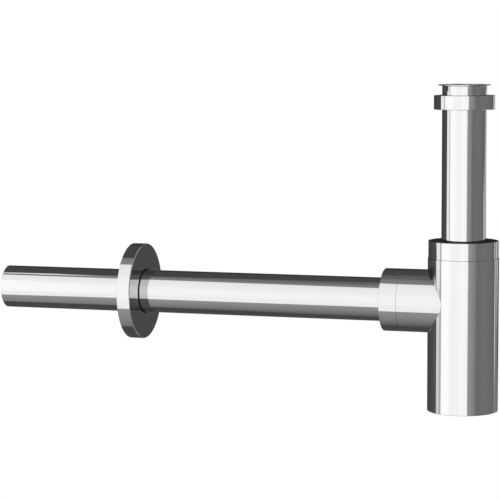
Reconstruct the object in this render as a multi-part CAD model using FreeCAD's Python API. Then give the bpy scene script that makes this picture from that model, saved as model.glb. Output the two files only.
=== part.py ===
import FreeCAD, Part
import math
import os

# A bottle trap for a wash basin, with an adjustable upright inlet tube and a level outlet tube.
# Millimetres. The origin is the centre of the inlet collar's top face, where the basin waste sits.
# +Z points up, and the outlet tube runs along -X to the wall.

# Tubes: both are the same drawn tube.
TUBE_R = 16.0
TUBE_WALL = 1.2
BORE_R = TUBE_R - TUBE_WALL

# Roundings: EDGE on turned and cut edges, FINE_EDGE on small rings, SEAM_EDGE where two polished pieces
# meet in a fine line, CORNER inside thin turned shells.
EDGE = 0.3
FINE_EDGE = 0.2
SEAM_EDGE = 0.1
CORNER = 1.0

# Gaps: RUNNING is between pieces that slide or turn on each other, FREE is between other moving pieces,
# and SEAM is left between a tightened nut and the shoulder behind it.
RUNNING = 0.05
FREE = 0.3
SEAM = 0.1

# Pipe threads: CORE is the bottom of the outer thread, ROOT is the bottom of the inner thread.
# The helical ridges between the two are too fine for these solids, so each thread is its two walls.
QUARTER_CORE_R = 19.48
QUARTER_ROOT_R = 20.96
HALF_CORE_R = 22.42
HALF_ROOT_R = 23.90

# Round nuts, all with an inner lip that presses on a slip ring.
LIP = 2.0
NUT_EDGE = 0.35
SLIP_RING = 1.0

# Cone seals: a flange that lies on the spigot's end, and a cone in a seat of the same slope.
SEAL_FLANGE = 1.2
SEAL_OVERHANG = 0.8
SEAL_TIP_GAP = 0.2
SEAT_ANGLE = 30.0

# Inlet tube: the collar at its top passes through the union nut's thread.
COLLAR_R = 18.75
COLLAR = 0.8
COLLAR_MOUTH = 0.3
COLLAR_FILLET = 0.5
INLET_END_Z = -224.0

UNION_NUT_R = 21.9
UNION_NUT_TOP_Z = -7.8
UNION_NUT_BOTTOM_Z = -17.9

# Bottle.
BOTTLE_R = 25.7
BOTTLE_WALL = 1.5
BOTTLE_INNER_R = BOTTLE_R - BOTTLE_WALL
BOTTLE_TOP_Z = -125.2
BOTTLE_BOTTOM_Z = -236.8

TOP_NUT_R = 25.3
TOP_NUT_TOP_Z = -112.7
TOP_NUT_BOTTOM_Z = BOTTLE_TOP_Z + SEAM

# Black wiper ring, let into the top nut's upper face so that only a narrow rim stands round it.
WIPER_RIM = 0.7
WIPER = 0.8
WIPER_SINK = 0.05

NECK_HOLE_R = 17.0
NECK_SEAT_R = 20.4
NECK_WEB = 1.2
NECK_FUNNEL = 3.0
NECK_BOTTOM_Z = -136.4
SKIRT_WALL = 1.5

# Branch and its nut, on the level axis.
OUTLET_Z = -157.5
BRANCH_R = 23.0
BRANCH_INNER_R = BRANCH_R - BOTTLE_WALL
BRANCH_SHOULDER_X = -44.8
BRANCH_SEAT_R = 18.4
BRANCH_HOLE_R = 18.2
BRANCH_WEB = 1.8
BRANCH_SKIRT = 6.0
SOCKET_R = TUBE_R + FREE
SOCKET_WALL = 1.5
SOCKET_CORNER = 0.5
SOCKET_STOP_X = -30.0
SOCKET_END_X = -29.0

OUTLET_NUT_R = 23.0
OUTLET_NUT_FACE_X = -57.85
OUTLET_NUT_BACK_X = BRANCH_SHOULDER_X - SEAM

OUTLET_START_X = -38.5
OUTLET_END_X = -358.0

# Wall rosette: a hollow turned cover with a collar round the tube.
ROSETTE_R = 36.0
ROSETTE_FRONT_X = -245.0
ROSETTE_BACK_X = -255.1
ROSETTE_PLATE = 1.6
ROSETTE_RIM = 1.5
ROSETTE_EDGE = 0.6
ROSETTE_HOLE_R = 16.4
ROSETTE_HOLE_EDGE = 0.1
ROSETTE_COLLAR_R = 20.0
ROSETTE_COLLAR_SET_BACK = 1.5

# Rubber ring in the rosette's hole: a thick foot in a groove, and a thin lip that shows round the tube.
GRIP_LIP_R = 16.85
GRIP_LIP_PROUD = 0.4
GRIP_FOOT_R = 18.0
GRIP_FOOT_SET_BACK = 0.9
GRIP_FOOT = 2.0

# Clean-out plug in the foot of the bottle. It is set back a little, so that it clears the floor.
PLUG_CORE_R = 19.7
PLUG_ROOT_R = 20.75
PLUG_INNER_R = 17.8
PLUG_HEAD_R = 22.15
PLUG_HEAD = 2.2
PLUG_FLOOR = 3.6
PLUG_SET_BACK = 0.4
PLUG_SKIRT_TOP_Z = -227.0
BASE_RING_TOP_Z = -226.4
O_RING = 1.5
O_RING_GAP = 0.3
SLOT_LENGTH = 26.0
SLOT_WIDTH = 3.0
SLOT_DEPTH = 2.0

SEAT_SLOPE = math.tan(math.radians(SEAT_ANGLE))
SEAT_FIT = RUNNING / math.cos(math.radians(SEAT_ANGLE))

# The chain of rings under each nut sets where its spigot ends.
TOP_LIP_Z = TOP_NUT_TOP_Z - LIP
TOP_RING_Z = TOP_LIP_Z - RUNNING
INLET_SEAL_Z = TOP_RING_Z - SLIP_RING - RUNNING
NECK_TOP_Z = INLET_SEAL_Z - SEAL_FLANGE - RUNNING
OUTLET_LIP_X = OUTLET_NUT_FACE_X + LIP
OUTLET_RING_X = OUTLET_LIP_X + RUNNING
OUTLET_SEAL_X = OUTLET_RING_X + SLIP_RING + RUNNING
BRANCH_END_X = OUTLET_SEAL_X + SEAL_FLANGE

Z_AXIS = FreeCAD.Vector(0, 0, 1)
X_AXIS = FreeCAD.Vector(1, 0, 0)
Y_AXIS = FreeCAD.Vector(0, 1, 0)
MATCH = 0.01


def upright(radius, height):
    """A point of a section that turns round the vertical axis."""
    return FreeCAD.Vector(radius, 0, height)


def level(radius, distance):
    """A point of a section that turns round the outlet's level axis."""
    return FreeCAD.Vector(distance, 0, OUTLET_Z + radius)


def rounded_wire(corners, place):
    """Closed wire through corners of (radius, distance, rounding), with an arc where rounding isn't 0."""
    edges = []
    ends = []
    count = len(corners)
    points = [place(corner[0], corner[1]) for corner in corners]
    for index, point in enumerate(points):
        rounding = corners[index][2]
        back = (points[index - 1] - point).normalize()
        ahead = (points[(index + 1) % count] - point).normalize()
        if rounding == 0:
            ends.append((point, point))
            continue
        half = back.getAngle(ahead) / 2
        middle = (back + ahead).normalize()
        start = point + back * (rounding / math.tan(half))
        end = point + ahead * (rounding / math.tan(half))
        crown = point + middle * (rounding / math.sin(half) - rounding)
        edges.append(Part.Arc(start, crown, end).toShape())
        ends.append((start, end))
    for index in range(count):
        leave = ends[index][1]
        arrive = ends[(index + 1) % count][0]
        edges.append(Part.LineSegment(leave, arrive).toShape())
    return Part.Wire(Part.__sortEdges__(edges))


def revolved(wire, place):
    """Solid of a closed wire turned round the vertical axis, or the level one where place is level."""
    axis = Z_AXIS if place is upright else X_AXIS
    solid = Part.Face(wire).revolve(place(0, 0), axis, 360)
    if solid.Volume < 0:
        solid.reverse()
    return solid


def turned(corners, place=upright):
    """Solid turned from a section of (radius, distance, rounding) corners."""
    return revolved(rounded_wire(corners, place), place)


def ring(inner_r, outer_r, start, end, place, edge=0.0):
    """Plain ring between two places on its axis, with its outer edges rounded."""
    return turned(
        [
            (inner_r, start, 0),
            (outer_r, start, edge),
            (outer_r, end, edge),
            (inner_r, end, 0),
        ],
        place,
    )


def round_nut(outer_r, root_r, lip_face, open_face, place):
    """Round nut with its thread wall open at one end, and a lip round the tube at the other."""
    inwards = 1 if open_face > lip_face else -1
    lip_back = lip_face + inwards * LIP
    return turned(
        [
            (TUBE_R + FREE, lip_face, FINE_EDGE),
            (outer_r, lip_face, NUT_EDGE),
            (outer_r, open_face, SEAM_EDGE),
            (root_r, open_face, 0),
            (root_r, lip_back, EDGE),
            (TUBE_R + FREE, lip_back, 0),
        ],
        place,
    )


def cone_seal(mouth_r, hole_r, flange_face, inwards, place):
    """Rubber ring with a flange that lies on the spigot's end and a cone that sits in its seat."""
    flange_back = flange_face + inwards * SEAL_FLANGE
    flange_r = mouth_r + SEAL_OVERHANG
    cone_r = mouth_r - SEAT_FIT
    tip_r = hole_r + SEAL_TIP_GAP
    tip = flange_back + inwards * (cone_r - tip_r) / SEAT_SLOPE
    return turned(
        [
            (TUBE_R + RUNNING, flange_face, FINE_EDGE),
            (flange_r, flange_face, FINE_EDGE),
            (flange_r, flange_back, 0),
            (cone_r, flange_back, 0),
            (tip_r, tip, 0),
            (TUBE_R + RUNNING, tip, 0),
        ],
        place,
    )


def round_ring(centre_r, section_r, at, place):
    """Rubber ring of round section."""
    circle = Part.Circle(place(centre_r, at), Y_AXIS, section_r)
    return revolved(Part.Wire(circle.toShape()), place)


def inlet_tube():
    """Upright tube: the collar at its top is turned out from the tube, and its lower end is cut square."""
    return turned(
        [
            (BORE_R, 0, COLLAR_MOUTH),
            (COLLAR_R, 0, EDGE),
            (COLLAR_R, -COLLAR, EDGE),
            (TUBE_R, -COLLAR, COLLAR_FILLET),
            (TUBE_R, INLET_END_Z, EDGE),
            (BORE_R, INLET_END_Z, 0),
        ]
    )


def union_nut():
    """Nut that draws the collar up against the basin waste, with its thread open at the top."""
    return round_nut(
        UNION_NUT_R, QUARTER_ROOT_R, UNION_NUT_BOTTOM_Z, UNION_NUT_TOP_Z, upright
    )


def union_slip_ring():
    """Ring that lets the union nut turn without dragging the collar round."""
    bottom = UNION_NUT_BOTTOM_Z + LIP + RUNNING
    return ring(
        TUBE_R + RUNNING, QUARTER_CORE_R - FREE, bottom, bottom + SLIP_RING, upright
    )


def top_nut():
    """Nut that squeezes the inlet seal into the neck, open at the bottom and recessed on top."""
    recess_r = TOP_NUT_R - WIPER_RIM
    recess_z = TOP_NUT_TOP_Z - WIPER_SINK - WIPER
    return turned(
        [
            (TUBE_R + FREE, recess_z, 0),
            (recess_r, recess_z, 0),
            (recess_r, TOP_NUT_TOP_Z, 0),
            (TOP_NUT_R, TOP_NUT_TOP_Z, SEAM_EDGE),
            (TOP_NUT_R, TOP_NUT_BOTTOM_Z, SEAM_EDGE),
            (HALF_ROOT_R, TOP_NUT_BOTTOM_Z, 0),
            (HALF_ROOT_R, TOP_LIP_Z, EDGE),
            (TUBE_R + FREE, TOP_LIP_Z, 0),
        ]
    )


def top_wiper_ring():
    """Black ring in the top nut's recess, which keeps dirt and water out of the joint."""
    top = TOP_NUT_TOP_Z - WIPER_SINK
    return ring(
        TUBE_R + RUNNING, TOP_NUT_R - WIPER_RIM, top, top - WIPER, upright, SEAM_EDGE
    )


def top_slip_ring():
    """Ring between the top nut's lip and the inlet seal."""
    return ring(
        TUBE_R + RUNNING,
        HALF_CORE_R - FREE,
        TOP_RING_Z - SLIP_RING,
        TOP_RING_Z,
        upright,
    )


def inlet_cone_seal():
    """Seal round the inlet tube. It stays in the neck while the bottle turns and slides on the tube."""
    return cone_seal(NECK_SEAT_R, NECK_HOLE_R, INLET_SEAL_Z, -1, upright)


def neck_ring():
    """Ring brazed in the bottle's top: threaded spigot, cone seat, and a thin skirt against the wall."""
    seat_end_z = NECK_TOP_Z - (NECK_SEAT_R - NECK_HOLE_R) / SEAT_SLOPE
    web_z = BOTTLE_TOP_Z - NECK_WEB
    skirt_r = BOTTLE_INNER_R - SKIRT_WALL
    return turned(
        [
            (NECK_SEAT_R, NECK_TOP_Z, 0),
            (HALF_CORE_R, NECK_TOP_Z, EDGE),
            (HALF_CORE_R, BOTTLE_TOP_Z, 0),
            (BOTTLE_INNER_R, BOTTLE_TOP_Z, 0),
            (BOTTLE_INNER_R, NECK_BOTTOM_Z, 0),
            (skirt_r, NECK_BOTTOM_Z, EDGE),
            (skirt_r, web_z - NECK_FUNNEL, CORNER),
            (NECK_HOLE_R, web_z, EDGE),
            (NECK_HOLE_R, seat_end_z, 0),
        ]
    )


def bottle_tube():
    """Drawn outer tube of the bottle, with the round hole for the branch."""
    tube = turned(
        [
            (BOTTLE_INNER_R, BOTTLE_TOP_Z, 0),
            (BOTTLE_R, BOTTLE_TOP_Z, SEAM_EDGE),
            (BOTTLE_R, BOTTLE_BOTTOM_Z, EDGE),
            (BOTTLE_INNER_R, BOTTLE_BOTTOM_Z, FINE_EDGE),
        ]
    )
    return tube.cut(level_rod(BRANCH_HOLE_R, -2 * BOTTLE_R, 0))


def level_rod(radius, start_x, end_x):
    """Solid rod on the outlet's level axis."""
    return Part.makeCylinder(
        radius, end_x - start_x, FreeCAD.Vector(start_x, 0, OUTLET_Z), X_AXIS
    )


def upright_rod(radius):
    """Solid rod on the vertical axis, as tall as the bottle."""
    height = BOTTLE_TOP_Z - BOTTLE_BOTTOM_Z
    foot = FreeCAD.Vector(0, 0, BOTTLE_BOTTOM_Z)
    return Part.makeCylinder(radius, height, foot, Z_AXIS)


def branch_tube():
    """Short drawn tube of the branch, cut to a saddle and brazed on the bottle round the hole."""
    tube = ring(BRANCH_INNER_R, BRANCH_R, 0, BRANCH_SHOULDER_X, level)
    tube = tube.makeFillet(SEAM_EDGE, [outer_edge(tube, BRANCH_R, BRANCH_SHOULDER_X)])
    return tube.cut(upright_rod(BOTTLE_R))


def outer_edge(solid, radius, at):
    """The round edge of a level solid with this radius, at this place on the axis."""
    for edge in solid.Edges:
        off_radius = abs(edge.BoundBox.YLength / 2 - radius)
        off_place = abs(edge.BoundBox.Center.x - at)
        if edge.Closed and off_radius < MATCH and off_place < MATCH:
            return edge
    raise ValueError(f"no round edge of radius {radius} at {at}")


def branch_ring():
    """Ring brazed in the branch: threaded spigot, cone seat, and a socket with a stop for the tube."""
    seat_end_x = BRANCH_END_X + (BRANCH_SEAT_R - SOCKET_R) / SEAT_SLOPE
    web_x = BRANCH_SHOULDER_X + BRANCH_WEB
    skirt_r = BRANCH_INNER_R - SKIRT_WALL
    skirt_x = BRANCH_SHOULDER_X + BRANCH_SKIRT
    return turned(
        [
            (BRANCH_SEAT_R, BRANCH_END_X, 0),
            (QUARTER_CORE_R, BRANCH_END_X, EDGE),
            (QUARTER_CORE_R, BRANCH_SHOULDER_X, 0),
            (BRANCH_INNER_R, BRANCH_SHOULDER_X, 0),
            (BRANCH_INNER_R, skirt_x, 0),
            (skirt_r, skirt_x, EDGE),
            (skirt_r, web_x, SOCKET_CORNER),
            (SOCKET_R + SOCKET_WALL, web_x, SOCKET_CORNER),
            (SOCKET_R + SOCKET_WALL, SOCKET_END_X, EDGE),
            (BORE_R, SOCKET_END_X, 0),
            (BORE_R, SOCKET_STOP_X, 0),
            (SOCKET_R, SOCKET_STOP_X, 0),
            (SOCKET_R, seat_end_x, 0),
        ],
        level,
    )


def outlet_nut():
    """Nut that squeezes the outlet seal into the branch."""
    return round_nut(
        OUTLET_NUT_R, QUARTER_ROOT_R, OUTLET_NUT_FACE_X, OUTLET_NUT_BACK_X, level
    )


def outlet_slip_ring():
    """Ring between the outlet nut's lip and the outlet seal."""
    return ring(
        TUBE_R + RUNNING,
        QUARTER_CORE_R - FREE,
        OUTLET_RING_X,
        OUTLET_RING_X + SLIP_RING,
        level,
    )


def outlet_cone_seal():
    """Seal round the outlet tube, which stays in the branch when the tube slides."""
    return cone_seal(BRANCH_SEAT_R, SOCKET_R, OUTLET_SEAL_X, 1, level)


def outlet_tube():
    """Level tube from the branch to the wall, cut square at both ends."""
    return turned(
        [
            (BORE_R, OUTLET_END_X, FINE_EDGE),
            (TUBE_R, OUTLET_END_X, EDGE),
            (TUBE_R, OUTLET_START_X, EDGE),
            (BORE_R, OUTLET_START_X, 0),
        ],
        level,
    )


def wall_rosette():
    """Cover for the hole in the wall: flat face, deep rim, open back, and a grooved collar."""
    plate_back = ROSETTE_FRONT_X - ROSETTE_PLATE
    collar_end = ROSETTE_BACK_X + ROSETTE_COLLAR_SET_BACK
    rim_r = ROSETTE_R - ROSETTE_RIM
    groove_front = ROSETTE_FRONT_X - GRIP_FOOT_SET_BACK
    groove_back = groove_front - GRIP_FOOT
    return turned(
        [
            (GRIP_LIP_R, ROSETTE_FRONT_X, ROSETTE_HOLE_EDGE),
            (ROSETTE_R, ROSETTE_FRONT_X, ROSETTE_EDGE),
            (ROSETTE_R, ROSETTE_BACK_X, EDGE),
            (rim_r, ROSETTE_BACK_X, 0),
            (rim_r, plate_back, CORNER),
            (ROSETTE_COLLAR_R, plate_back, CORNER),
            (ROSETTE_COLLAR_R, collar_end, EDGE),
            (ROSETTE_HOLE_R, collar_end, 0),
            (ROSETTE_HOLE_R, groove_back, 0),
            (GRIP_FOOT_R, groove_back, 0),
            (GRIP_FOOT_R, groove_front, 0),
            (GRIP_LIP_R, groove_front, 0),
        ],
        level,
    )


def rosette_grip_ring():
    """Rubber ring that holds the rosette where it is put on the tube, with its lip just proud of the face."""
    lip_x = ROSETTE_FRONT_X + GRIP_LIP_PROUD
    foot_front = ROSETTE_FRONT_X - GRIP_FOOT_SET_BACK
    foot_back = foot_front - GRIP_FOOT
    return turned(
        [
            (TUBE_R + RUNNING, lip_x, 0),
            (GRIP_LIP_R, lip_x, SEAM_EDGE),
            (GRIP_LIP_R, foot_front, 0),
            (GRIP_FOOT_R, foot_front, 0),
            (GRIP_FOOT_R, foot_back, 0),
            (TUBE_R + RUNNING, foot_back, 0),
        ],
        level,
    )


def base_ring():
    """Ring brazed in the bottle's foot: thread above, and a counterbore for the plug's head."""
    face_z = BOTTLE_BOTTOM_Z + PLUG_SET_BACK
    counterbore_z = face_z + PLUG_HEAD + O_RING + 2 * RUNNING
    return turned(
        [
            (PLUG_ROOT_R, BASE_RING_TOP_Z, EDGE),
            (BOTTLE_INNER_R, BASE_RING_TOP_Z, 0),
            (BOTTLE_INNER_R, face_z, 0),
            (PLUG_HEAD_R + FREE, face_z, EDGE),
            (PLUG_HEAD_R + FREE, counterbore_z, 0),
            (PLUG_ROOT_R, counterbore_z, FINE_EDGE),
        ]
    )


def clean_out_plug():
    """Screw plug: flush head with a coin slot, a threaded skirt, and room inside for the dip tube."""
    face_z = BOTTLE_BOTTOM_Z + PLUG_SET_BACK
    head_z = face_z + PLUG_HEAD
    floor_z = face_z + PLUG_FLOOR
    plug = turned(
        [
            (0, face_z, 0),
            (PLUG_HEAD_R, face_z, EDGE),
            (PLUG_HEAD_R, head_z, 0),
            (PLUG_CORE_R, head_z, 0),
            (PLUG_CORE_R, PLUG_SKIRT_TOP_Z, EDGE),
            (PLUG_INNER_R, PLUG_SKIRT_TOP_Z, 0),
            (PLUG_INNER_R, floor_z, CORNER),
            (0, floor_z, 0),
        ]
    )
    return plug.cut(coin_slot(face_z))


def coin_slot(face_z):
    """Straight slot with round ends, cut up into the plug's head along X."""
    half = (SLOT_LENGTH - SLOT_WIDTH) / 2
    corner = FreeCAD.Vector(-half, -SLOT_WIDTH / 2, face_z)
    slot = Part.makeBox(2 * half, SLOT_WIDTH, SLOT_DEPTH, corner)
    for side in (-half, half):
        end = Part.makeCylinder(
            SLOT_WIDTH / 2, SLOT_DEPTH, FreeCAD.Vector(side, 0, face_z)
        )
        slot = slot.fuse(end)
    return slot.removeSplitter()


def plug_o_ring():
    """Rubber ring between the plug's head and the counterbore."""
    face_z = BOTTLE_BOTTOM_Z + PLUG_SET_BACK
    middle_z = face_z + PLUG_HEAD + RUNNING + O_RING / 2
    centre_r = (PLUG_CORE_R + PLUG_HEAD_R) / 2 + O_RING_GAP
    return round_ring(centre_r, O_RING / 2, middle_z, upright)


PIECES = [
    inlet_tube,
    union_nut,
    union_slip_ring,
    top_nut,
    top_wiper_ring,
    top_slip_ring,
    inlet_cone_seal,
    neck_ring,
    bottle_tube,
    branch_tube,
    branch_ring,
    outlet_nut,
    outlet_slip_ring,
    outlet_cone_seal,
    outlet_tube,
    wall_rosette,
    rosette_grip_ring,
    base_ring,
    clean_out_plug,
    plug_o_ring,
]


os.makedirs("parts", exist_ok=True)
for piece in PIECES:
    solid = piece()
    solid.exportStep(f"parts/{piece.__name__}.step")
    print(f"{piece.__name__}: {solid.Volume / 1000:.2f} cm3, valid {solid.isValid()}")
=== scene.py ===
"""Looks of a chrome bottle trap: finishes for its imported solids, thread ridges, a small studio.

Everything is in metres, in the frame of the solids: the origin is the centre of the inlet
collar's top face, +Z points up, and the outlet tube runs along -X to the wall.
"""

from __future__ import annotations

import logging
import math
from dataclasses import dataclass
from enum import Enum
from typing import Sequence

import bmesh
import bpy
from bpy.types import ID, Material, Node, NodeSocket, NodeTree, Object, World
from mathutils import Euler, Matrix, Vector


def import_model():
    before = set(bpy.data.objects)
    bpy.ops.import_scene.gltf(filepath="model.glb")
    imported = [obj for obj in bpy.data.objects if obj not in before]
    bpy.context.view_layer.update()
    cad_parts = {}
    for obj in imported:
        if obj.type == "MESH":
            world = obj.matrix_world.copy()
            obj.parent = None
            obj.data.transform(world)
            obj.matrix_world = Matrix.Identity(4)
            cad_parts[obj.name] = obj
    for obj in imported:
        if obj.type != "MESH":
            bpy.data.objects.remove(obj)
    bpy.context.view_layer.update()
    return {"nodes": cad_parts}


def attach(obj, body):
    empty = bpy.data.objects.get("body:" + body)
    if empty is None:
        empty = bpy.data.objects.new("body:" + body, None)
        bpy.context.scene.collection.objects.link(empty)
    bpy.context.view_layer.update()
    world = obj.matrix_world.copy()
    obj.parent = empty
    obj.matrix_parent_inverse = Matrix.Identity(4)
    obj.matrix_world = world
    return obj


LOG = logging.getLogger("bottle_trap")

OUTLET_Z = -0.1575  # height of the outlet tube's axis
PIPE_PITCH = 0.002309  # G 1 1/4 and G 1 1/2: 11 turns an inch
PLUG_PITCH = 0.002
SMOOTH_UP_TO = math.radians(30)
WHITE = (1.0, 1.0, 1.0, 1.0)

Feed = float | Sequence[float] | NodeSocket
Sockets = bpy.types.bpy_prop_collection
Colour = tuple[float, float, float, float]
Place = tuple[float, float, float]
Pair = tuple[float, float]


class Axis(Enum):
    """Line that a turned piece is centred on."""

    UPRIGHT = "upright"
    LEVEL = "level"

    def placement(self) -> Matrix:
        """Where a mesh made round the vertical axis goes.

        Returns:
            Matrix that moves it onto this axis.
        """
        if self is Axis.UPRIGHT:
            return Matrix.Identity(4)
        turn = Matrix(((0, 0, 1), (1, 0, 0), (0, 1, 0))).to_4x4()
        return Matrix.Translation((0, 0, OUTLET_Z)) @ turn


class Slot(Enum):
    """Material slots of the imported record."""

    POLISHED = "polished_chrome"
    PLATED = "plated_thread"
    RUBBER = "black_rubber"
    NYLON = "white_nylon"


class Graph:
    """Adds nodes to one node tree and joins them."""

    def __init__(self, tree: NodeTree) -> None:
        """Takes an empty tree.

        Args:
            tree: Shader or geometry node tree to fill.
        """
        self.tree = tree

    def socket(self, label: str, kind: str, direction: str = "INPUT") -> None:
        """Adds one of the tree's own inputs or outputs.

        Args:
            label: Name of the socket.
            kind: What it carries, such as Float.
            direction: INPUT or OUTPUT.
        """
        self.tree.interface.new_socket(
            name=label, in_out=direction, socket_type=f"NodeSocket{kind}"
        )

    def feed(self, socket: NodeSocket, value: Feed) -> None:
        """Links an output to a socket, or sets the socket's own value.

        Args:
            socket: Input socket.
            value: Output socket, number or vector.
        """
        if isinstance(value, NodeSocket):
            self.tree.links.new(value, socket)
        else:
            socket.default_value = value

    def add(
        self, kind: str, feeds: dict[str | int, Feed] | None = None, **settings: object
    ) -> Node:
        """Adds one node.

        Args:
            kind: Blender's name for the node type.
            feeds: Value or output for each input, by name or number.
            settings: Values for the node's own properties.

        Returns:
            The new node.
        """
        node = self.tree.nodes.new(kind)
        for name, value in settings.items():
            setattr(node, name, value)
        for socket, value in (feeds or {}).items():
            self.feed(node.inputs[socket], value)
        return node

    def math(self, operation: str, *values: Feed, clamp: bool = False) -> NodeSocket:
        """Adds a Math node and returns its result.

        Args:
            operation: Math operation, such as SINE.
            values: One to three numbers or outputs.
            clamp: True keeps the result between 0 and 1.

        Returns:
            The result's socket.
        """
        feeds = dict(enumerate(values))
        node = self.add("ShaderNodeMath", feeds, operation=operation, use_clamp=clamp)
        return node.outputs[0]

    def plus(self, first: Feed, second: Feed) -> NodeSocket:
        """Sum of two numbers."""
        return self.math("ADD", first, second)

    def minus(self, first: Feed, second: Feed) -> NodeSocket:
        """First number less the second."""
        return self.math("SUBTRACT", first, second)

    def times(self, first: Feed, second: Feed) -> NodeSocket:
        """Product of two numbers."""
        return self.math("MULTIPLY", first, second)

    def over(self, first: Feed, second: Feed, clamp: bool = False) -> NodeSocket:
        """First number divided by the second, kept between 0 and 1 if clamp is True."""
        return self.math("DIVIDE", first, second, clamp=clamp)

    def parts(self, place: Feed) -> Sockets:
        """X, Y and Z of a place."""
        return self.add("ShaderNodeSeparateXYZ", {0: place}).outputs

    def join(self, x: Feed, y: Feed, z: Feed) -> NodeSocket:
        """Place with these X, Y and Z."""
        return self.add("ShaderNodeCombineXYZ", {0: x, 1: y, 2: z}).outputs[0]

    def off_axis(self, parts: Sockets) -> NodeSocket:
        """Distance from the Z axis, for the parts of a place."""
        squares = [self.math("POWER", parts[index], 2.0) for index in (0, 1)]
        return self.math("SQRT", self.plus(*squares))

    def span(self, value: Feed, low: Feed, high: Feed) -> NodeSocket:
        """Rises smoothly from 0 at low to 1 at high.

        Args:
            value: Number that is compared.
            low: Value that gives 0.
            high: Value that gives 1.

        Returns:
            The result's socket.
        """
        feeds = {"Value": value, "From Min": low, "From Max": high}
        node = self.add("ShaderNodeMapRange", feeds, interpolation_type="SMOOTHSTEP")
        return node.outputs["Result"]

    def blend(self, share: Feed, first: Feed, second: Feed) -> NodeSocket:
        """Mixes two numbers.

        Args:
            share: 0 gives the first, 1 gives the second.
            first: Number or output.
            second: Number or output.

        Returns:
            The mixed number's socket.
        """
        feeds = {0: share, 2: first, 3: second}
        return self.add("ShaderNodeMix", feeds, data_type="FLOAT").outputs[0]

    def tint(self, share: Feed, first: Feed, second: Feed) -> NodeSocket:
        """Mixes two colours.

        Args:
            share: 0 gives the first, 1 gives the second.
            first: Colour or output.
            second: Colour or output.

        Returns:
            The mixed colour's socket.
        """
        feeds = {0: share, 6: first, 7: second}
        return self.add("ShaderNodeMix", feeds, data_type="RGBA").outputs[2]

    def noise(
        self, place: Feed, scale: Feed, detail: float = 2.0, roughness: float = 0.5
    ) -> NodeSocket:
        """Uneven value from 0 to 1.

        Args:
            place: Place that it is read at.
            scale: Patches a metre, or a unit of place.
            detail: Steps of finer patches.
            roughness: Weight of each finer step.

        Returns:
            The value's socket.
        """
        feeds = {"Vector": place, "Scale": scale, "Detail": detail, "Roughness": roughness}
        return self.add("ShaderNodeTexNoise", feeds).outputs[0]


def cleared_tree(owner: Material | World) -> NodeTree:
    """Switches the nodes of a material or world on.

    Args:
        owner: The material or world.

    Returns:
        Its node tree, emptied.
    """
    owner.use_nodes = True
    owner.node_tree.nodes.clear()
    return owner.node_tree


def linked(name: str, data: ID) -> Object:
    """Makes an object and puts it in the scene.

    Args:
        name: Name of the object.
        data: Its mesh, lamp or camera.

    Returns:
        The object.
    """
    made = bpy.data.objects.new(name, data)
    bpy.context.scene.collection.objects.link(made)
    return made


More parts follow.
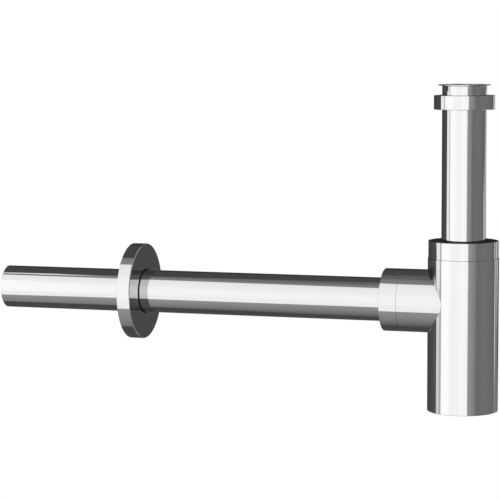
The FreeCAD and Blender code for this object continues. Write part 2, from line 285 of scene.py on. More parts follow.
class Effects:
    """Node groups that several finishes share. All take a Vector whose Z runs along the axis."""

    SOFT_EDGE = 0.0002  # width over which the mask of the inner walls fades
    RING_SHARE = 0.3  # share of the even rings in the turning marks
    RING_CHANGE = 0.37  # how far the marks change from ring to ring
    RING_SPAN = (0.3, 0.7)
    LINE_CHANGE = 12.0  # how fast the drawing lines change along the axis
    LINE_SPAN = (0.35, 0.65)
    HAZE_SPAN = (0.42, 0.72)

    def build(self) -> None:
        """Builds every group once, under the name that FinishGraph.effect finds it by."""
        self._inner_wall()
        self._turning_marks()
        self._drawing_lines()
        self._haze()

    @staticmethod
    def _group(
        name: str, inputs: Sequence[str], outputs: Sequence[str]
    ) -> tuple[Graph, Sockets, Sockets]:
        """Makes an empty group, with the input Vector and others that carry numbers.

        Args:
            name: Name of the group.
            inputs: Names of the other inputs.
            outputs: Names of the outputs.

        Returns:
            The group's graph, what it is given, and where its results go.
        """
        graph = Graph(bpy.data.node_groups.new(name, "ShaderNodeTree"))
        graph.socket("Vector", "Vector")
        for label in inputs:
            graph.socket(label, "Float")
        for label in outputs:
            graph.socket(label, "Float", "OUTPUT")
        given = graph.add("NodeGroupInput").outputs
        return graph, given, graph.add("NodeGroupOutput").inputs

    def _inner_wall(self) -> None:
        """Mask: walls nearer to the axis than a radius, between two places on the axis."""
        graph, given, result = self._group("inner_wall", ("Radius", "Low", "High"), ("Mask",))
        edge, low, high = given["Radius"], given["Low"], given["High"]
        parts = graph.parts(given["Vector"])
        inside = graph.span(graph.off_axis(parts), graph.plus(edge, self.SOFT_EDGE), edge)
        above = graph.span(parts[2], low, graph.plus(low, self.SOFT_EDGE))
        below = graph.span(parts[2], high, graph.minus(high, self.SOFT_EDGE))
        graph.feed(result["Mask"], graph.times(inside, graph.times(above, below)))

    def _turning_marks(self) -> None:
        """Height and Shade: fine rings round the axis, as a turning tool leaves them."""
        graph, given, result = self._group("turning_marks", ("Spacing",), ("Height", "Shade"))
        parts = graph.parts(given["Vector"])
        along = graph.over(graph.plus(parts[2], graph.off_axis(parts)), given["Spacing"])
        rings = graph.math("SINE", graph.times(along, math.tau))
        line = graph.join(0.0, 0.0, graph.times(along, self.RING_CHANGE))
        uneven = graph.noise(line, 1.0, detail=3.0)
        graph.feed(result["Height"], graph.plus(graph.times(rings, self.RING_SHARE), uneven))
        graph.feed(result["Shade"], graph.span(uneven, *self.RING_SPAN))

    def _drawing_lines(self) -> None:
        """Shade: faint lines along the axis, as a die leaves them inside a drawn tube."""
        graph, given, result = self._group("drawing_lines", ("Lines",), ("Shade",))
        parts = graph.parts(given["Vector"])
        angle = graph.math("ARCTAN2", parts[1], parts[0])
        across = graph.times(graph.math("COSINE", angle), given["Lines"])
        around = graph.times(graph.math("SINE", angle), given["Lines"])
        line = graph.join(across, around, graph.times(parts[2], self.LINE_CHANGE))
        uneven = graph.noise(line, 1.0, detail=4.0)
        graph.feed(result["Shade"], graph.span(uneven, *self.LINE_SPAN))

    def _haze(self) -> None:
        """Mask: soft uneven patches of handling and water haze."""
        graph, given, result = self._group("haze", ("Size",), ("Mask",))
        scale = graph.over(1.0, given["Size"])
        patches = graph.noise(given["Vector"], scale, detail=5.0, roughness=0.6)
        graph.feed(result["Mask"], graph.span(patches, *self.HAZE_SPAN))


class FinishGraph(Graph):
    """Material with a Principled shader, in coordinates whose Z runs along the piece's axis."""

    def __init__(self, name: str, slot: Slot, axis: Axis) -> None:
        """Makes the material and its shader.

        Args:
            name: Name of the piece.
            slot: Material slot of the record that it belongs to.
            axis: Axis that its patterns follow.
        """
        self.material = bpy.data.materials.new(f"{slot.value}_{name}")
        super().__init__(cleared_tree(self.material))
        self.shader = self.add("ShaderNodeBsdfPrincipled")
        self.add("ShaderNodeOutputMaterial", {"Surface": self.shader.outputs[0]})
        self.place = self.add("ShaderNodeTexCoord").outputs["Object"]
        if axis is Axis.LEVEL:
            middle = {"Vector": self.place, "Location": (0.0, 0.0, -OUTLET_Z)}
            centred = self.add("ShaderNodeMapping", middle, vector_type="POINT").outputs[0]
            parts = self.parts(centred)
            self.place = self.join(parts[1], parts[2], parts[0])

    def effect(self, name: str, **values: Feed) -> Sockets:
        """Places a shared effect, in this material's coordinates.

        Args:
            name: Name of the effect's node group.
            values: Value of each input, by name.

        Returns:
            What the effect puts out.
        """
        node = self.add("ShaderNodeGroup", node_tree=bpy.data.node_groups[name])
        for label, value in {"Vector": self.place, **values}.items():
            self.feed(node.inputs[label], value)
        return node.outputs

    def set(self, **values: Feed) -> None:
        """Sets the shader's inputs, by their names with _ for a space."""
        for label, value in values.items():
            self.feed(self.shader.inputs[label.replace("_", " ")], value)

    def bump(self, height: Feed, distance: float, strength: float) -> None:
        """Feeds a fine relief to the shader's Normal.

        Args:
            height: Relief from 0 to 1.
            distance: Depth of the relief in metres.
            strength: Share of it that shows.
        """
        feeds = {"Height": height, "Distance": distance, "Strength": strength}
        self.set(Normal=self.add("ShaderNodeBump", feeds).outputs[0])


@dataclass(frozen=True)
class Finish:
    """What one piece looks like.

    Attributes:
        axis: Axis of the piece, which its patterns follow.
        slot: Material slot of the record, one for each kind of finish.
    """

    axis: Axis

    slot = Slot.POLISHED

    def material(self, name: str) -> Material:
        """Builds the material of one piece.

        Args:
            name: Name of the piece.

        Returns:
            The material.
        """
        graph = FinishGraph(name, self.slot, self.axis)
        self.lay(graph)
        return graph.material

    def lay(self, graph: FinishGraph) -> None:
        """Feeds the shader, which each kind of finish does in its own way.

        Args:
            graph: Graph of the material.
        """
        raise NotImplementedError


@dataclass(frozen=True)
class InnerWalls:
    """Walls nearer to the axis than a radius, between two places on the axis."""

    radius: float
    low: float
    high: float


@dataclass(frozen=True)
class Chrome(Finish):
    """Mirror chrome on brass: bright outside, and thinly plated on the inner walls."""

    inner: InnerWalls
    colour: Colour = (0.53, 0.535, 0.54, 1.0)
    inner_colour: Colour = (0.60, 0.57, 0.52, 1.0)
    line_colour: Colour = (0.432, 0.4104, 0.3744, 1.0)
    roughness: float = 0.008
    hazed_roughness: float = 0.022
    inner_roughness: float = 0.34
    haze_size: float = 0.03
    lines: float = 14.0

    def lay(self, graph: FinishGraph) -> None:
        """Feeds the shader.

        Args:
            graph: Graph of the material.
        """
        haze = graph.effect("haze", Size=self.haze_size)["Mask"]
        gloss = graph.blend(haze, self.roughness, self.hazed_roughness)
        edges = {"Radius": self.inner.radius, "Low": self.inner.low, "High": self.inner.high}
        inside = graph.effect("inner_wall", **edges)["Mask"]
        drawn = graph.effect("drawing_lines", Lines=self.lines)["Shade"]
        brass = graph.tint(drawn, self.inner_colour, self.line_colour)
        graph.set(
            Metallic=1.0,
            Base_Color=graph.tint(inside, self.colour, brass),
            Roughness=graph.blend(inside, gloss, self.inner_roughness),
        )


@dataclass(frozen=True)
class PlatedThread(Finish):
    """Turned brass with a thin dull plating, on the threads and the brazed rings."""

    slot = Slot.PLATED

    colour: Colour = (0.62, 0.61, 0.58, 1.0)
    worn_colour: Colour = (0.52, 0.46, 0.34, 1.0)
    roughness: float = 0.24
    marked_roughness: float = 0.1
    worn_roughness: float = 0.08
    mark_spacing: float = 0.00018
    mark_depth: float = 0.00001
    mark_strength: float = 0.4
    wear_size: float = 0.006

    def lay(self, graph: FinishGraph) -> None:
        """Feeds the shader.

        Args:
            graph: Graph of the material.
        """
        marks = graph.effect("turning_marks", Spacing=self.mark_spacing)
        wear = graph.effect("haze", Size=self.wear_size)["Mask"]
        rough = graph.plus(graph.times(marks["Shade"], self.marked_roughness), self.roughness)
        graph.set(
            Metallic=1.0,
            Base_Color=graph.tint(wear, self.colour, self.worn_colour),
            Roughness=graph.plus(rough, graph.times(wear, self.worn_roughness)),
        )
        graph.bump(marks["Height"], self.mark_depth, self.mark_strength)


@dataclass(frozen=True)
class Rubber(Finish):
    """Black moulded rubber with a faint bloom."""

    slot = Slot.RUBBER

    colour: Colour = (0.010, 0.010, 0.011, 1.0)
    bloom_colour: Colour = (0.022, 0.022, 0.023, 1.0)
    bloom_size: float = 0.005
    roughness: float = 0.7
    bloom_roughness: float = 0.15
    sheen: float = 0.12
    grain_scale: float = 2500.0
    grain_depth: float = 0.00002
    grain_strength: float = 0.3

    def lay(self, graph: FinishGraph) -> None:
        """Feeds the shader.

        Args:
            graph: Graph of the material.
        """
        bloom = graph.effect("haze", Size=self.bloom_size)["Mask"]
        graph.set(
            Base_Color=graph.tint(bloom, self.colour, self.bloom_colour),
            Roughness=graph.plus(graph.times(bloom, self.bloom_roughness), self.roughness),
            Specular_IOR_Level=self.sheen,
        )
        grain = graph.noise(graph.place, self.grain_scale)
        graph.bump(grain, self.grain_depth, self.grain_strength)


@dataclass(frozen=True)
class Nylon(Finish):
    """White moulded nylon, slightly cloudy."""

    slot = Slot.NYLON

    colour: Colour = (0.83, 0.83, 0.80, 1.0)
    cloudy_colour: Colour = (0.74, 0.73, 0.68, 1.0)
    cloud_size: float = 0.008
    roughness: float = 0.32
    cloudy_roughness: float = 0.1
    cloudiness: float = 0.15
    light_reach: float = 0.002
    mark_spacing: float = 0.0004
    mark_depth: float = 0.00001
    mark_strength: float = 0.2

    def lay(self, graph: FinishGraph) -> None:
        """Feeds the shader.

        Args:
            graph: Graph of the material.
        """
        cloud = graph.effect("haze", Size=self.cloud_size)["Mask"]
        graph.set(
            Base_Color=graph.tint(cloud, self.colour, self.cloudy_colour),
            Roughness=graph.plus(graph.times(cloud, self.cloudy_roughness), self.roughness),
            Subsurface_Weight=self.cloudiness,
            Subsurface_Scale=self.light_reach,
        )
        marks = graph.effect("turning_marks", Spacing=self.mark_spacing)
        graph.bump(marks["Height"], self.mark_depth, self.mark_strength)


class RidgeTree:
    """Geometry node tree that winds one right-handed thread ridge round the vertical axis."""

    SIZES = (
        "Wall Radius", "Crest Radius", "Root Width", "Crest Width",
        "Pitch", "Start", "Turns", "Phase", "Run Out",
    )
    STEPS_A_TURN = 72.0
    ROWS = 5
    JOINED_WITHIN = 0.000002

    def __init__(self) -> None:
        """Builds the tree with its named inputs."""
        self.tree = bpy.data.node_groups.new("thread_ridge", "GeometryNodeTree")
        graph = Graph(self.tree)
        graph.socket("Geometry", "Geometry")
        for label in self.SIZES:
            graph.socket(label, "Float")
        graph.socket("Material", "Material")
        graph.socket("Geometry", "Geometry", "OUTPUT")
        self._fill(graph)

    def _fill(self, graph: Graph) -> None:
        """Lays a strip out along the helix and closes it.

        The strip's rows, at -2 to 2, are the ridge's lower foot, lower crest, upper crest, upper
        foot and again its lower foot.

        Args:
            graph: Graph of the tree, with its sockets.
        """
        given = graph.add("NodeGroupInput").outputs
        turns, wall = given["Turns"], given["Wall Radius"]
        columns = graph.plus(graph.times(turns, self.STEPS_A_TURN), 1.0)
        extent = {"Size X": 1.0, "Size Y": self.ROWS - 1.0}
        counts = {"Vertices X": columns, "Vertices Y": self.ROWS}
        strip = graph.add("GeometryNodeMeshGrid", {**extent, **counts})
        place = graph.parts(graph.add("GeometryNodeInputPosition").outputs[0])
        turn = graph.times(graph.plus(place[0], 0.5), turns)

        run_in = graph.over(turn, given["Run Out"], clamp=True)
        run_out = graph.over(graph.minus(turns, turn), given["Run Out"], clamp=True)
        share = graph.math("MINIMUM", run_in, run_out)

        crest = graph.math("COMPARE", place[1], -0.5, 1.0)
        upper = graph.math("COMPARE", place[1], 0.5, 1.0)
        side = graph.minus(graph.times(upper, 2.0), 1.0)
        width = graph.blend(crest, given["Root Width"], given["Crest Width"])
        offset = graph.times(graph.times(side, 0.5), graph.times(width, share))
        height = graph.times(graph.minus(given["Crest Radius"], wall), share)
        radius = graph.plus(wall, graph.times(crest, height))

        angle = graph.plus(graph.times(turn, math.tau), given["Phase"])
        rise = graph.plus(given["Start"], graph.times(turn, given["Pitch"]))
        target = graph.join(
            graph.times(radius, graph.math("COSINE", angle)),
            graph.times(radius, graph.math("SINE", angle)),
            graph.plus(rise, offset),
        )
        shape = strip.outputs["Mesh"]
        for kind, feeds in (
            ("GeometryNodeSetPosition", {"Position": target}),
            ("GeometryNodeMergeByDistance", {"Distance": self.JOINED_WITHIN}),
            ("GeometryNodeRealizeInstances", {}),
            ("GeometryNodeSetMaterial", {"Material": given["Material"]}),
        ):
            shape = graph.add(kind, {"Geometry": shape, **feeds}).outputs[0]
        graph.add("NodeGroupOutput", {0: shape})

    def wind(self, name: str, sizes: dict[str, float], material: Material) -> Object:
        """Makes one ridge as a plain mesh.

        Args:
            name: Name of the piece.
            sizes: Value of each size input, by name.
            material: Material of the ridge.

        Returns:
            The new object, with its place in its mesh.
        """
        carrier = linked(f"{name}_carrier", bpy.data.meshes.new(f"{name}_carrier"))
        modifier = carrier.modifiers.new("ridge", "NODES")
        modifier.node_group = self.tree
        values = {**sizes, "Material": material}
        for item in self.tree.interface.items_tree:
            if item.in_out == "INPUT" and item.name in values:
                modifier[item.identifier] = values[item.name]
        seen = bpy.context.evaluated_depsgraph_get()
        mesh = bpy.data.meshes.new_from_object(carrier.evaluated_get(seen), depsgraph=seen)
        carrier.modifiers.clear()
        bpy.data.objects.remove(carrier)
        mesh.name = name
        return linked(name, mesh)


@dataclass(frozen=True)
class Fit:
    """Sizes shared by two threads that screw into each other.

    Attributes:
        axis: Axis of the threads.
        core: Radius of the spigot's wall between its ridges.
        root: Radius of the nut's wall between its ridges.
        datum: Place on the axis that both threads are timed from.
        play: Gap between the crests of one thread and the wall of the other.
        pitch: Rise in one turn.
    """

    axis: Axis
    core: float
    root: float
    datum: float
    play: float = 0.00007
    pitch: float = PIPE_PITCH


@dataclass(frozen=True)
class Thread:
    """One thread, whose ridge fills the space between the two plain walls.

    Attributes:
        name: Name of the piece.
        body: Body that it rides on.
        fit: Sizes that it shares with the other thread.
        ends: Lowest and highest place of the ridge on the axis.
        outside: True for a ridge on a spigot, False for one in a nut.
        between: True for the thread whose ridge lies between the other's.
        crest_share: Width of the ridge's crest, as a share of the pitch.
        root_share: Width of its foot, as a share of the pitch.
        sunk: How deep its foot stands in the wall.
        run_out: Turns over which it rises at either end.
    """

    name: str
    body: str
    fit: Fit
    ends: Pair
    outside: bool = False
    between: bool = False
    crest_share: float = 0.14
    root_share: float = 0.80
    sunk: float = 0.00004
    run_out: float = 0.35

    def sizes(self) -> dict[str, float]:
        """Sizes for the node tree's inputs.

        Returns:
            Value of each input, by name.
        """
        fit, (start, end) = self.fit, self.ends
        if self.outside:
            wall, crest = fit.core - self.sunk, fit.root - fit.play
        else:
            wall, crest = fit.root + self.sunk, fit.core + fit.play
        shift = start - fit.datum - (fit.pitch / 2 if self.between else 0.0)
        return {
            "Wall Radius": wall,
            "Crest Radius": crest,
            "Root Width": fit.pitch * self.root_share,
            "Crest Width": fit.pitch * self.crest_share,
            "Pitch": fit.pitch,
            "Start": start,
            "Turns": (end - start) / fit.pitch,
            "Phase": math.tau * shift / fit.pitch,
            "Run Out": self.run_out,
        }

    def build(self, ridges: RidgeTree) -> None:
        """Makes the ridge and fixes it to its body.

        Args:
            ridges: Node tree that winds ridges.
        """
        material = PlatedThread(self.fit.axis).material(self.name)
        piece = ridges.wind(self.name, self.sizes(), material)
        piece.data.transform(self.fit.axis.placement())
        shape = bmesh.new()
        shape.from_mesh(piece.data)
        bmesh.ops.recalc_face_normals(shape, faces=shape.faces)
        for face in shape.faces:
            face.smooth = True
        shape.to_mesh(piece.data)
        shape.free()
        piece.data.set_sharp_from_angle(angle=SMOOTH_UP_TO)
        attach(piece, self.body)
        LOG.info("%s: %d faces, on %s", self.name, len(piece.data.polygons), self.body)


class SubAssembly:
    """Part of the trap: finishes for its solids, and the thread ridges on them."""

    def finishes(self) -> dict[str, Finish]:
        """Finish of each solid, by its name."""
        raise NotImplementedError

    def threads(self) -> list[Thread]:
        """Threads of the sub-assembly, none unless it has some."""
        return []

    def build(self, ridges: RidgeTree) -> None:
        """Makes the pieces that the solids leave out.

        Args:
            ridges: Node tree that winds ridges.
        """
        for thread in self.threads():
            thread.build(ridges)

    def dress(self, nodes: dict[str, Object]) -> None:
        """Gives every solid its material.

        Args:
            nodes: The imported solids, by name.
        """
        for name, finish in self.finishes().items():
            solid = nodes[name]
            solid.data.materials.clear()
            solid.data.materials.append(finish.material(name))
            LOG.info("%s: %s", name, type(finish).__name__)


@dataclass
class InletSide(SubAssembly):
    """Inlet tube with its union nut and slip ring."""

    tube_walls: InnerWalls = InnerWalls(0.0154, -0.2236, -0.0008)
    nut_walls: InnerWalls = InnerWalls(0.02116, -0.0160, -0.0078)
    fit: Fit = Fit(Axis.UPRIGHT, 0.01955, 0.02096, 0.0)
    nut_ends: Pair = (-0.01355, -0.0090)

    def finishes(self) -> dict[str, Finish]:
        """Chrome outside, and nylon for the slip ring.

        Returns:
            Finish of each solid, by its name.
        """
        return {
            "inlet_tube": Chrome(Axis.UPRIGHT, self.tube_walls),
            "union_nut": Chrome(Axis.UPRIGHT, self.nut_walls),
            "union_slip_ring": Nylon(Axis.UPRIGHT),
        }

    def threads(self) -> list[Thread]:
        """The union nut's thread."""
        return [Thread("union_thread", "union", self.fit, self.nut_ends)]


@dataclass
class BottleTop(SubAssembly):
    """Bottle with its neck ring, top nut and inlet seal."""

    shell_walls: InnerWalls = InnerWalls(0.0246, -0.2368, -0.1252)
    nut_walls: InnerWalls = InnerWalls(0.0241, -0.1251, -0.1146)
    fit: Fit = Fit(Axis.UPRIGHT, 0.02242, 0.0239, -0.1252)
    neck_ends: Pair = (-0.1241, -0.11805)
    nut_ends: Pair = (-0.1240, -0.1159)

    def finishes(self) -> dict[str, Finish]:
        """Chrome outside, a plated neck ring, rubber seals and a nylon slip ring.

        Returns:
            Finish of each solid, by its name.
        """
        return {
            "bottle_tube": Chrome(Axis.UPRIGHT, self.shell_walls),
            "top_nut": Chrome(Axis.UPRIGHT, self.nut_walls),
            "neck_ring": PlatedThread(Axis.UPRIGHT),
            "top_wiper_ring": Rubber(Axis.UPRIGHT),
            "top_slip_ring": Nylon(Axis.UPRIGHT),
            "inlet_cone_seal": Rubber(Axis.UPRIGHT),
        }

    def threads(self) -> list[Thread]:
        """Threads of the neck and of the top nut.

        Returns:
            The two threads.
        """
        return [
            Thread("neck_thread", "bottle", self.fit, self.neck_ends, outside=True),
            Thread("top_nut_thread", "top_cap", self.fit, self.nut_ends, between=True),
        ]


@dataclass
class OutletSide(SubAssembly):
    """Branch with its nut and seal, and the level outlet tube."""

    branch_walls: InnerWalls = InnerWalls(0.0219, -0.0448, 0.0)
    nut_walls: InnerWalls = InnerWalls(0.02116, -0.05595, -0.0449)
    tube_walls: InnerWalls = InnerWalls(0.0154, -0.3576, -0.0385)
    fit: Fit = Fit(Axis.LEVEL, 0.01948, 0.02096, -0.0448)
    branch_ends: Pair = (-0.05255, -0.0459)
    nut_ends: Pair = (-0.05465, -0.0460)

    def finishes(self) -> dict[str, Finish]:
        """Chrome outside, a plated ring, a rubber seal and a nylon slip ring.

        Returns:
            Finish of each solid, by its name.
        """
        return {
            "branch_tube": Chrome(Axis.LEVEL, self.branch_walls),
            "branch_ring": PlatedThread(Axis.LEVEL),
            "outlet_nut": Chrome(Axis.LEVEL, self.nut_walls),
            "outlet_slip_ring": Nylon(Axis.LEVEL),
            "outlet_cone_seal": Rubber(Axis.LEVEL),
            "outlet_tube": Chrome(Axis.LEVEL, self.tube_walls),
        }

    def threads(self) -> list[Thread]:
        """Threads of the branch and of its nut.

        Returns:
            The two threads.
        """
        return [
            Thread("branch_thread", "bottle", self.fit, self.branch_ends, outside=True),
            Thread("outlet_nut_thread", "outlet_cap", self.fit, self.nut_ends, between=True),
        ]


@dataclass
class WallCover(SubAssembly):
    """Wall rosette with the ring that grips the outlet tube."""

    hollow: InnerWalls = InnerWalls(0.0349, -0.2551, -0.2464)

    def finishes(self) -> dict[str, Finish]:
        """Chrome with a dull hollow, and a rubber ring.

        Returns:
            Finish of each solid, by its name.
        """
        return {
            "wall_rosette": Chrome(Axis.LEVEL, self.hollow),
            "rosette_grip_ring": Rubber(Axis.LEVEL),
        }


@dataclass
class CleanOut(SubAssembly):
    """Screw plug in the bottle's foot, with its ring and the threaded ring round it."""

    cup: InnerWalls = InnerWalls(0.02075, -0.2341, -0.2260)
    fit: Fit = Fit(Axis.UPRIGHT, 0.0197, 0.02075, -0.2326, 0.00006, PLUG_PITCH)
    foot_ends: Pair = (-0.2315, -0.2275)
    plug_ends: Pair = (-0.2331, -0.2281)

    def finishes(self) -> dict[str, Finish]:
        """A plated ring, a chromed plug and its rubber ring.

        Returns:
            Finish of each solid, by its name.
        """
        return {
            "base_ring": PlatedThread(Axis.UPRIGHT),
            "clean_out_plug": Chrome(Axis.UPRIGHT, self.cup),
            "plug_o_ring": Rubber(Axis.UPRIGHT),
        }

    def threads(self) -> list[Thread]:
        """Threads of the foot and of the plug, whose crests differ in width.

        Returns:
            The two threads.
        """
        foot = Thread("foot_thread", "bottle", self.fit, self.foot_ends, crest_share=0.2)
        crest = {"crest_share": 0.1, "outside": True, "between": True}
        return [foot, Thread("plug_thread", "plug", self.fit, self.plug_ends, **crest)]


Quads = list[list[tuple[Vector, float]]]


@dataclass(frozen=True)
class Panel:
    """Upright studio panel, curved round the trap.

    Attributes:
        start: First bearing in degrees from the front (-Y), positive towards +X.
        end: Last bearing in degrees.
        stops: From the bottom up: height, brightness at the first bearing, and brightness at the
            last one where it differs.
    """

    start: float
    end: float
    stops: Sequence[tuple[float, ...]]


@dataclass(frozen=True)
class Column:
    """Line across a level studio sheet, from the front to the back.

    Attributes:
        across: Its place from left to right.
        stops: Place from front to back and brightness at each of its stops.
    """

    across: float
    stops: Sequence[tuple[float, float]]


@dataclass
class Reflectors:
    """Panels, ceiling and floor sheets that only the chrome's reflections see.

    Every brightness is the share of white light that polished chrome shows of it. All columns of
    a sheet have the same number of stops.
    """

    radius: float = 1.6
    ceiling: float = 0.84
    sheet: float = -0.595
    reach: float = 3.0
    step: float = 3.0
    crisp: float = 0.001
    dark: float = 0.056
    darkest: float = 0.040
    reflectance: float = 0.535

    def panels(self) -> list[Panel]:
        """Panels from the floor sheet to the ceiling, round from the back by the left and right.

        Returns:
            The panels.
        """
        low, mid, lit, eye, top = self.sheet, -0.34, -0.30, -0.05, self.ceiling
        above, over = mid + self.crisp, eye + self.crisp
        pale = (above, 0.71, 0.72), (lit, 0.80, 0.81), (eye, 0.80, 0.82)
        table = (
            (-180, -150, (low, 0.045), (mid, 0.03, 0.035), (0.0, 0.03, 0.032), (0.001, 0.17),
             (0.0445, 0.17), (0.045, 0.03), (top, 0.03)),
            (-150, -134, (low, 0.045), (mid, 0.035, 0.042), (top, 0.03)),
            (-134, -120, (low, 0.046, 0.05), (mid, 0.045, 0.052), (top, 0.025)),
            (-120, -97, (low, 0.052, 0.066), (eye, 0.052, 0.066), (top, 0.022)),
            (-97, -90, (low, 0.08, 0.085), (mid, 0.08, 0.085), (above, 0.06, 0.058),
             (top, 0.03)),
            (-90, -87, (low, 0.055), (eye, 0.055), (top, 0.045)),
            (-87, -85, (low, 0.05), (-0.305, 0.06), *pale[1:], (over, 0.05), (top, 0.05)),
            (-85, -84, (low, 0.05), (mid, 0.05), *pale, (over, 0.06), (top, 0.06)),
            (-84, -79, (low, 0.54, 0.55), (mid, 0.63, 0.64), *pale, (over, 0.2, 0.22),
             (top, 0.2, 0.22)),
            (-79, -71, (low, 0.55), (mid, 0.67, 0.64), *pale, (top, 0.8)),
            (-71, -69.5, (low, 0.4), (mid, 0.39), (above, 0.68), (top, 0.76)),
            (-69.5, -65.5, (low, 0.41), (mid, 0.39), (top, 0.44)),
            (-65.5, -63.2, (low, 0.42), (mid, 0.39), (-0.28, 0.55, 0.6), (eye, 0.95), (top, 0.95)),
            (-63.2, -38, (low, 0.96, 0.97), (top, 0.96, 0.97)),
            (-38, -25, (low, 0.94, 0.87), (mid, 0.96, 0.89), (0.15, 0.96, 0.91), (top, 0.9, 0.83)),
            (-25, -8, (low, 0.86, 0.88), (mid, 0.89), (0.15, 0.91, 0.9), (top, 0.83, 0.84)),
            (-8, 6, (low, 0.88, 0.925), (mid, 0.89, 0.94), (eye, 0.89, 0.955), (top, 0.84, 0.92)),
            (6, 12, (low, 0.925), (mid, 0.94), (eye, 0.955, 0.95), (top, 0.92)),
            (12, 26.6, (low, 0.925, 0.87), (mid, 0.94, 0.87), (eye, 0.95, 0.87), (top, 0.92, 0.87)),
            (26.6, 27.2, (low, 0.3), (mid, 0.3), (above, 0.87), (top, 0.87)),
            (27.2, 28, (low, 0.3), (-0.1, 0.3), (-0.099, 0.86), (top, 0.86)),
            (28, 52, (low, 0.295, 0.185), (top, 0.3, 0.185)),
            (52, 56, (low, 0.18, 0.138), (top, 0.18, 0.138)),
            (56, 85, (low, 0.136, 0.151), (top, 0.136, 0.154)),
            (85, 120, (low, 0.15, 0.136), (mid, 0.151, 0.131), (top, 0.154, 0.132)),
            (120, 130, (low, 0.135, 0.13), (mid, 0.125, 0.105), (top, 0.12, 0.11)),
            (130, 133.5, (low, 0.12), (-0.28, 0.1), (-0.137, 0.11), (eye, 0.2), (top, 0.2)),
            (133.5, 138.5, (low, 0.2), (-0.5, 0.25), (-0.42, 0.62), (-0.28, 0.55), (-0.21, 0.5),
             (-0.16, 0.1), (top, 0.1)),
            (138.5, 147, (low, 0.2), (-0.42, 0.17), (-0.28, 0.16), (-0.22, 0.25), (-0.137, 0.12),
             (eye, 0.07), (top, 0.07)),
            (147, 160, (low, 0.12), (-0.42, 0.16, 0.15), (-0.28, 0.48, 0.4), (-0.137, 0.36),
             (eye, 0.27, 0.3), (top, 0.27, 0.3)),
            (160, 180, (low, 0.15), (-0.5, 0.15), (-0.44, self.dark), (-0.26, self.dark),
             (-0.137, 0.33), (eye, 0.33), (over, 0.05), (top, 0.05)),
        )
        return [Panel(start, end, stops) for start, end, *stops in table]

    def ceiling_columns(self) -> list[Column]:
        """Ceiling: a white front, a grey wedge, a dark back, and a white back at the right.

        Returns:
            Its columns, from left to right.
        """
        # Place across, ends of the white, the near grey and the far grey, and the two greys.
        wedge = (
            (-3.0, 0.262, 0.6, 0.9, 0.06, 0.05),
            (-0.93, -0.272, -0.1, 0.0, 0.06, 0.05),
            (-0.86, -0.29, -0.145, -0.045, 0.09, 0.45),
            (-0.8, -0.305, -0.16, -0.045, 0.1, 0.6),
            (-0.73, -0.322, -0.165, -0.03, 0.09, 0.75),
            (-0.7, -0.336, -0.18, -0.045, 0.16, 0.45),
            (-0.67, -0.344, -0.19, -0.043, 0.215, 0.225),
            (-0.58, -0.352, -0.16, 0.03, 0.195, 0.165),
            (-0.48, -0.385, -0.14, 0.105, 0.185, 0.15),
            (-0.385, -0.412, -0.12, 0.175, 0.18, 0.125),
            (-0.33, -0.432, -0.09, 0.245, 0.185, 0.12),
            (-0.26, -0.47, -0.055, 0.33, 0.175, 0.105),
            (-0.235, -0.48, -0.055, 0.36, 0.15, 0.09),
            (-0.19, -0.02, 0.2, 0.5, 0.11, 0.07),
            (0.0, -0.02, 0.2, 0.7, 0.11, 0.06),
            (0.22, -0.56, 0.2, 0.9, 0.11, 0.06),
            (0.3, -0.718, 0.215, 0.96, 0.11, 0.06),
        )
        columns = [
            Column(across, (
                (-self.reach, 0.84), (min(front - 0.3, -0.95), 0.83), (front, 0.775),
                (front + self.crisp, near + 0.03), (middle, near - 0.01),
                (middle + self.crisp, far + 0.01), (back, far - 0.015),
                (back + 0.03, self.dark), (back + self.reach, self.darkest),
            ))
            for across, front, middle, back, near, far in wedge
        ]
        right = (
            (-self.reach, 0.84), (-1.0, 0.8), (-1.0 + self.crisp, 0.08), (-0.12, 0.1),
            (0.3, 0.13), (0.75, 0.8), (1.1, 0.8), (1.15, self.dark),
            (self.reach, self.darkest),
        )
        return columns + [Column(0.34, right), Column(self.reach, right)]

    def floor_columns(self) -> list[Column]:
        """Floor sheet: a white front, a grey that gets darker, and a white back at both sides.

        Returns:
            Its columns, from left to right.
        """
        # Place across, ends of the white, the fall and the level grey, and its first and last grey.
        edges = (
            (-1.04, -0.32, 0.016, 0.067, 0.19, 0.096),
            (-0.8, -0.42, -0.055, -0.005, 0.2, 0.1),
            (-0.62, -0.5, -0.055, -0.005, 0.265, 0.19),
            (-0.55, -0.565, -0.055, -0.005, 0.275, 0.19),
            (-0.44, -0.58, -0.06, -0.01, 0.275, 0.18),
            (-0.3, -0.588, -0.04, 0.045, 0.265, 0.145),
            (-0.12, -0.597, 0.0, 0.13, 0.265, 0.125),
            (-0.08, -0.6, 0.0, 0.14, 0.13, 0.08),
            (0.12, -0.6, 0.0, 0.145, 0.13, 0.08),
        )
        columns = [
            Column(across, (
                (-self.reach, 0.87), (front, 0.84), (front + self.crisp, first),
                (front + 0.45 * (fall - front), 0.9 * first),
                (front + 0.75 * (fall - front), 0.5 * first + 0.45 * level),
                (fall, level), (back, self.dark), (back + self.reach, self.darkest),
            ))
            for across, front, fall, back, first, level in edges
        ]
        side = (
            (-self.reach, 0.87), (-0.6, 0.84), (-0.6 + self.crisp, 0.13), (0.3, 0.1),
            (0.7, 0.75), (0.9, 0.75), (1.0, 0.15), (self.reach, 0.1),
        )
        left = [Column(-self.reach, side), Column(-1.08, side)]
        return left + columns + [Column(0.16, side), Column(self.reach, side)]

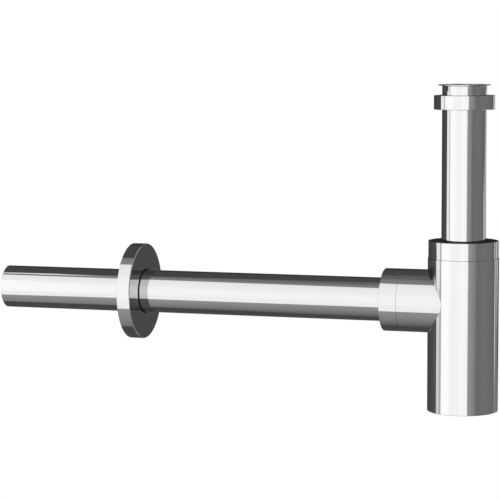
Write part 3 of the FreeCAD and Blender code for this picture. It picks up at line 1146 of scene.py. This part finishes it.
    def _panel_faces(self, panel: Panel) -> Quads:
        """Quads of one panel.

        Args:
            panel: The panel.

        Returns:
            Corners of each quad, with their brightness.
        """
        count = max(1, round((panel.end - panel.start) / self.step))
        rows = []
        for index in range(count + 1):
            share = index / count
            bearing = math.radians(panel.start + share * (panel.end - panel.start))
            side = (self.radius * math.sin(bearing), -self.radius * math.cos(bearing))
            rows.append([
                (Vector((*side, height)), glows[0] + share * (glows[-1] - glows[0]))
                for height, *glows in panel.stops
            ])
        faces = []
        for near, far in zip(rows, rows[1:]):
            faces += [list(corners) for corners in zip(near, far, far[1:], near[1:])]
        return faces

    @staticmethod
    def _sheet_faces(height: float, columns: list[Column]) -> Quads:
        """Quads of a level sheet.

        Args:
            height: Height of the sheet.
            columns: Its columns, from left to right.

        Returns:
            Corners of each quad, with their brightness.
        """
        rows = [
            [(Vector((column.across, place, height)), glow) for place, glow in column.stops]
            for column in columns
        ]
        faces = []
        for left, right in zip(rows, rows[1:]):
            faces += [list(corners) for corners in zip(left, right, right[1:], left[1:])]
        return faces

    def build(self) -> None:
        """Makes the reflectors as one mesh that only the chrome's reflections see."""
        quads = [quad for panel in self.panels() for quad in self._panel_faces(panel)]
        quads += self._sheet_faces(self.ceiling, self.ceiling_columns())
        quads += self._sheet_faces(self.sheet, self.floor_columns())
        points: list[Vector] = []
        glows: list[float] = []
        polygons = []
        for corners in quads:
            polygons.append(range(len(points), len(points) + len(corners)))
            points.extend(corner[0] for corner in corners)
            glows.extend(corner[1] / self.reflectance for corner in corners)
        mesh = bpy.data.meshes.new("studio_reflectors")
        mesh.from_pydata(points, [], polygons)
        mesh.attributes.new("glow", "FLOAT", "POINT").data.foreach_set("value", glows)
        mesh.materials.append(self._material())
        sheets = linked("studio_reflectors", mesh)
        for rays in ("camera", "diffuse", "transmission", "volume_scatter", "shadow"):
            setattr(sheets, f"visible_{rays}", False)

    @staticmethod
    def _material() -> Material:
        """Glowing material whose brightness is stored in the mesh.

        Returns:
            The material.
        """
        material = bpy.data.materials.new("studio_glow")
        graph = Graph(cleared_tree(material))
        glow = graph.add("ShaderNodeAttribute", attribute_name="glow").outputs["Fac"]
        light = graph.add("ShaderNodeEmission", {"Strength": glow})
        graph.add("ShaderNodeOutputMaterial", {"Surface": light.outputs[0]})
        return material


@dataclass
class Studio:
    """Camera, floor, soft light and background."""

    camera_place: Place = (0.30864, -1.48957, 0.03831)
    camera_angles: Place = (84.0665, 0.2033, 17.5099)
    lens: float = 151.45
    sensor_width: float = 36.0
    sight: float = 50.0
    floor_height: float = -0.6
    floor_size: float = 14.0
    floor_centre: Pair = (-0.15, 0.0)
    floor_fade: Pair = (0.55, 1.25)
    floor_colour: Colour = (0.86, 0.86, 0.85, 1.0)
    ambient: float = 0.62
    lamp_place: Place = (-0.5, -0.9, 1.5)
    lamp_target: Place = (-0.15, 0.0, -0.12)
    lamp_size: float = 1.6
    lamp_power: float = 22.0

    def build(self) -> None:
        """Sets up the whole studio."""
        self._camera()
        self._floor()
        self._lamp()
        self._world()
        Reflectors().build()
        bpy.context.scene.view_settings.view_transform = "Standard"

    def _camera(self) -> None:
        """Camera at the photograph's viewing angle."""
        data = bpy.data.cameras.new("camera")
        data.lens = self.lens
        data.sensor_width = self.sensor_width
        data.clip_end = self.sight
        camera = linked("camera", data)
        camera.location = self.camera_place
        camera.rotation_euler = Euler([math.radians(angle) for angle in self.camera_angles])
        bpy.context.scene.camera = camera

    @staticmethod
    def _seen_directly(graph: Graph) -> NodeSocket:
        """1 for camera, mirror and transmission rays, and 0 for the rays that carry light.

        Args:
            graph: Graph of the material or world.

        Returns:
            The result's socket.
        """
        rays = graph.add("ShaderNodeLightPath").outputs
        seen = graph.math("MAXIMUM", rays["Is Camera Ray"], rays["Is Glossy Ray"])
        return graph.math("MAXIMUM", seen, rays["Is Transmission Ray"])

    def _floor(self) -> None:
        """Pale floor that takes the shadow near the trap and fades to white further out."""
        half = self.floor_size / 2
        corners = [(-half, -half), (half, -half), (half, half), (-half, half)]
        mesh = bpy.data.meshes.new("studio_floor")
        mesh.from_pydata([(x, y, self.floor_height) for x, y in corners], [], [(0, 1, 2, 3)])
        material = bpy.data.materials.new("studio_floor")
        graph = Graph(cleared_tree(material))
        place = graph.add("ShaderNodeTexCoord").outputs["Object"]
        feeds = {0: place, 1: (*self.floor_centre, self.floor_height)}
        far = graph.add("ShaderNodeVectorMath", feeds, operation="DISTANCE").outputs["Value"]
        fade = graph.times(graph.span(far, *self.floor_fade), self._seen_directly(graph))
        matt = graph.add("ShaderNodeBsdfDiffuse", {"Color": self.floor_colour})
        white = graph.add("ShaderNodeEmission", {"Color": WHITE, "Strength": 1.0})
        layers = {0: fade, 1: matt.outputs[0], 2: white.outputs[0]}
        mixed = graph.add("ShaderNodeMixShader", layers)
        graph.add("ShaderNodeOutputMaterial", {"Surface": mixed.outputs[0]})
        mesh.materials.append(material)
        linked("studio_floor", mesh)

    def _lamp(self) -> None:
        """Large soft lamp above, left out of the reflections."""
        data = bpy.data.lights.new("soft_lamp", "AREA")
        data.shape = "DISK"
        data.size = self.lamp_size
        data.energy = self.lamp_power
        lamp = linked("soft_lamp", data)
        lamp.location = self.lamp_place
        aim = Vector(self.lamp_target) - lamp.location
        lamp.rotation_euler = aim.to_track_quat("-Z", "Y").to_euler()
        lamp.visible_glossy = False

    def _world(self) -> None:
        """White background with a plain level of light."""
        world = bpy.data.worlds.new("studio_world")
        graph = Graph(cleared_tree(world))
        strength = graph.blend(self._seen_directly(graph), self.ambient, 1.0)
        sky = graph.add("ShaderNodeBackground", {"Color": WHITE, "Strength": strength})
        graph.add("ShaderNodeOutputWorld", {"Surface": sky.outputs[0]})
        bpy.context.scene.world = world


def main() -> None:
    """Loads the solids, dresses them, adds the threads and sets up the studio."""
    logging.basicConfig(level=logging.INFO, format="%(name)s: %(message)s")
    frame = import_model()
    Effects().build()
    ridges = RidgeTree()
    for part in (InletSide(), BottleTop(), OutletSide(), WallCover(), CleanOut()):
        part.build(ridges)
        part.dress(frame["nodes"])
    Studio().build()


if __name__ == "__main__":
    main()
